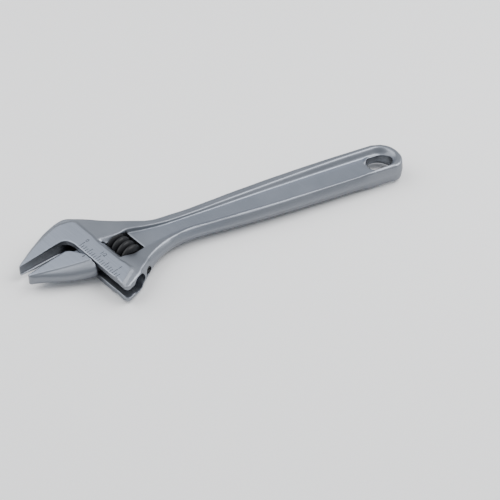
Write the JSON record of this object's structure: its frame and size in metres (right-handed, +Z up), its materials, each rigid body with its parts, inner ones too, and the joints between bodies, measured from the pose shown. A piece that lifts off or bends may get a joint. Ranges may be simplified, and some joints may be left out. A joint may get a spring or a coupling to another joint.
{
  "type": "adjustable wrench",
  "caption": "Adjustable spanner with a one-piece forged body, a sliding lower jaw on a round rack rail, a black worm knurl in the head and a hang hole in the handle.",
  "frame": {"origin": "middle of the wrench's footprint as it lies flat, at its lowest plane", "axes": "+X along the handle towards the hang hole (jaws at -X), +Y towards the fixed jaw's side, +Z up through the thickness"},
  "size_m": [0.2026, 0.0582, 0.0128],
  "materials": {
    "plated_steel": "satin plating on a forged surface, ground and brushed lands on the head",
    "black_oxide_steel": "black oxide, slightly oily satin",
    "spring_steel": "drawn wire"
  },
  "bodies": {
    "wrench_body": {"body": "plated_steel", "worm_screw": "black_oxide_steel", "worm_spring": "spring_steel"},
    "worm": {"worm_knurl": "black_oxide_steel"},
    "sliding_jaw": {"movable_jaw": "plated_steel"}
  },
  "joints": [
    {"name": "worm_spin", "type": "hinge", "parent": "wrench_body", "child": "worm", "pos_m": [-0.05216, -0.00073, 0.0064], "axis": [-0.2588, 0.9659, 0], "range_deg": [-636, 1730]},
    {"name": "jaw_slide", "type": "slide", "parent": "wrench_body", "child": "sliding_jaw", "axis": [0.2588, -0.9659, 0], "range_m": [-0.0068, 0.0185]}
  ],
  "couplings": [
    {"joint": "worm_spin", "follows": "jaw_slide", "rad_per_m": 1632}
  ]
}
